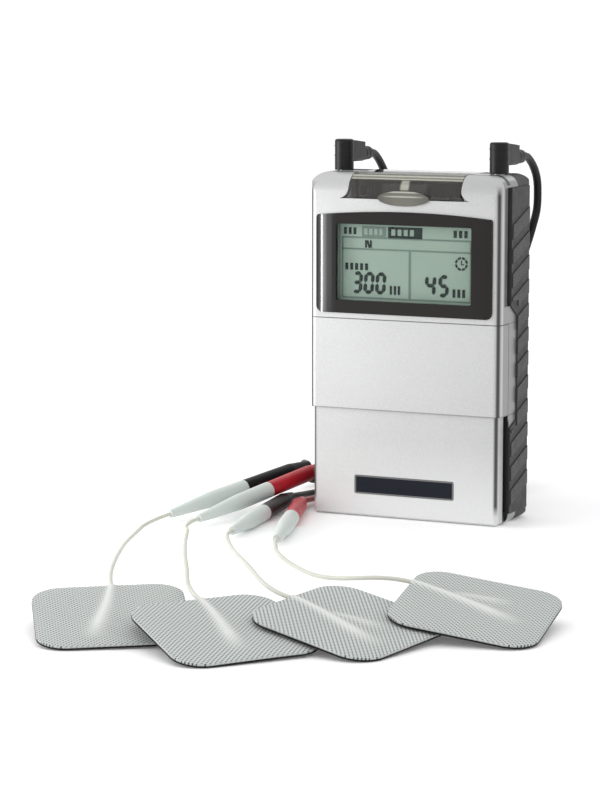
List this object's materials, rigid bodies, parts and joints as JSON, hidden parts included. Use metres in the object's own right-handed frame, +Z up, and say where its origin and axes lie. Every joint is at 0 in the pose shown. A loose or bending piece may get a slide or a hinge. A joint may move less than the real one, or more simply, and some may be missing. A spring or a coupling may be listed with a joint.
{
  "type": "tens unit",
  "caption": "Pocket nerve stimulator with a display, sliding control door and clear dial cover, its leads and self-adhesive electrode pads.",
  "frame": {"origin": "centre of the case's base, on the surface it stands on", "axes": "+X to the right seen from the front, -Y out of the display, +Z up the case"},
  "size_m": [0.1576, 0.2917, 0.1103],
  "materials": {
    "silver_paint": "satin metallic paint over plastic",
    "dark_plastic": "matte",
    "grip_rubber": "textured",
    "gloss_black": "gloss",
    "clear_window": "clear",
    "lcd": "satin",
    "zebra_rubber": "matte",
    "smoky_clear": "smoky clear",
    "steel": "plain",
    "black_plastic": "satin",
    "pot_body": "matte",
    "board": "satin",
    "battery_case": "satin",
    "black_cable": "satin",
    "red_plastic": "satin",
    "white_plastic": "satin",
    "white_cable": "satin",
    "pad_cloth": "knit cloth over a black film"
  },
  "bodies": {
    "unit": {"front_shell": "silver_paint", "back_shell": "dark_plastic", "grip_left": "grip_rubber", "grip_right": "grip_rubber", "display_bezel": "gloss_black", "display_window": "clear_window", "display_glass": "lcd", "display_connector": "zebra_rubber", "keypad_membrane": "dark_plastic", "cover_hinge_pin": "steel", "potentiometers": "pot_body", "lead_jacks": "black_plastic", "circuit_board": "board", "board_components": "black_plastic", "battery": "battery_case", "battery_snap": "black_plastic", "clip_pin": "steel", "clip_spring": "steel", "case_screws": "steel", "name_plate": "gloss_black", "lead_cord_left": "black_cable", "lead_cord_right": "black_cable", "lead_coil_left": "black_cable", "lead_coil_right": "black_cable", "lead_split_left": "black_cable", "lead_split_right": "black_cable", "branch_cords": "black_cable", "pin_sleeve_1": "black_cable", "pin_sleeve_2": "red_plastic", "pin_sleeve_3": "black_cable", "pin_sleeve_4": "red_plastic", "lead_pins": "steel", "pigtail_wire_1": "white_cable", "pigtail_wire_2": "white_cable", "pigtail_wire_3": "white_cable", "pigtail_wire_4": "white_cable", "pad_1": "pad_cloth", "pad_2": "pad_cloth", "pad_3": "pad_cloth", "pad_4": "pad_cloth"},
    "door": {"control_door": "silver_paint"},
    "mode_button": {"button_mode": "dark_plastic"},
    "set_button": {"button_set": "dark_plastic"},
    "up_button": {"button_up": "dark_plastic"},
    "down_button": {"button_down": "dark_plastic"},
    "cover": {"dial_cover": "smoky_clear"},
    "left_dial": {"dial_left": "black_plastic", "dial_shaft_left": "steel"},
    "right_dial": {"dial_right": "black_plastic", "dial_shaft_right": "steel"},
    "clip": {"belt_clip": "dark_plastic"},
    "battery_cover": {"battery_door": "dark_plastic"},
    "left_plug": {"plug_left": "black_cable", "plug_pin_left": "steel"},
    "right_plug": {"plug_right": "black_cable", "plug_pin_right": "steel"},
    "electrode_socket_1": {"socket_1": "white_plastic"},
    "electrode_socket_2": {"socket_2": "white_plastic"},
    "electrode_socket_3": {"socket_3": "white_plastic"},
    "electrode_socket_4": {"socket_4": "white_plastic"}
  },
  "joints": [
    {"name": "door_slide", "type": "slide", "parent": "unit", "child": "door", "axis": [0, 0, -1], "range_m": [0, 0.026]},
    {"name": "mode_press", "type": "slide", "parent": "unit", "child": "mode_button", "axis": [0, 1, 0], "range_m": [0, 0.0005], "stiffness_N_per_m": 300, "springref_m": -0.002},
    {"name": "set_press", "type": "slide", "parent": "unit", "child": "set_button", "axis": [0, 1, 0], "range_m": [0, 0.0005], "stiffness_N_per_m": 300, "springref_m": -0.002},
    {"name": "up_press", "type": "slide", "parent": "unit", "child": "up_button", "axis": [0, 1, 0], "range_m": [0, 0.0005], "stiffness_N_per_m": 300, "springref_m": -0.002},
    {"name": "down_press", "type": "slide", "parent": "unit", "child": "down_button", "axis": [0, 1, 0], "range_m": [0, 0.0005], "stiffness_N_per_m": 300, "springref_m": -0.002},
    {"name": "cover_hinge", "type": "hinge", "parent": "unit", "child": "cover", "pos_m": [0, 0.009, 0.0978], "axis": [-1, 0, 0], "range_deg": [0, 100]},
    {"name": "left_dial_turn", "type": "hinge", "parent": "unit", "child": "left_dial", "pos_m": [-0.0096, -0.0027, 0.0965], "axis": [0, 0, 1], "range_deg": [0, 280]},
    {"name": "right_dial_turn", "type": "hinge", "parent": "unit", "child": "right_dial", "pos_m": [0.0096, -0.0027, 0.0965], "axis": [0, 0, 1], "range_deg": [0, 280]},
    {"name": "clip_hinge", "type": "hinge", "parent": "unit", "child": "clip", "pos_m": [0, 0.01685, 0.082], "axis": [1, 0, 0], "range_deg": [0, 18], "stiffness_Nm_per_rad": 0.05, "springref_deg": -20.05},
    {"name": "battery_door_slide", "type": "slide", "parent": "unit", "child": "battery_cover", "axis": [0, 0, -1], "range_m": [0, 0.033]},
    {"name": "left_plug_pull", "type": "slide", "parent": "unit", "child": "left_plug", "axis": [0, 0, 1], "range_m": [0, 0.0142]},
    {"name": "right_plug_pull", "type": "slide", "parent": "unit", "child": "right_plug", "axis": [0, 0, 1], "range_m": [0, 0.0142]},
    {"name": "socket_1_pull", "type": "slide", "parent": "unit", "child": "electrode_socket_1", "axis": [-0.3433, -0.9282, -0.1436], "range_m": [0, 0.013], "deforming": ["pigtail_wire_1"]},
    {"name": "socket_2_pull", "type": "slide", "parent": "unit", "child": "electrode_socket_2", "axis": [-0.2383, -0.9616, -0.1362], "range_m": [0, 0.013], "deforming": ["pigtail_wire_2"]},
    {"name": "socket_3_pull", "type": "slide", "parent": "unit", "child": "electrode_socket_3", "axis": [0.1422, -0.9898, -0.0126], "range_m": [0, 0.013], "deforming": ["pigtail_wire_3"]},
    {"name": "socket_4_pull", "type": "slide", "parent": "unit", "child": "electrode_socket_4", "axis": [0.3172, -0.9483, -0.0121], "range_m": [0, 0.013], "deforming": ["pigtail_wire_4"]}
  ]
}
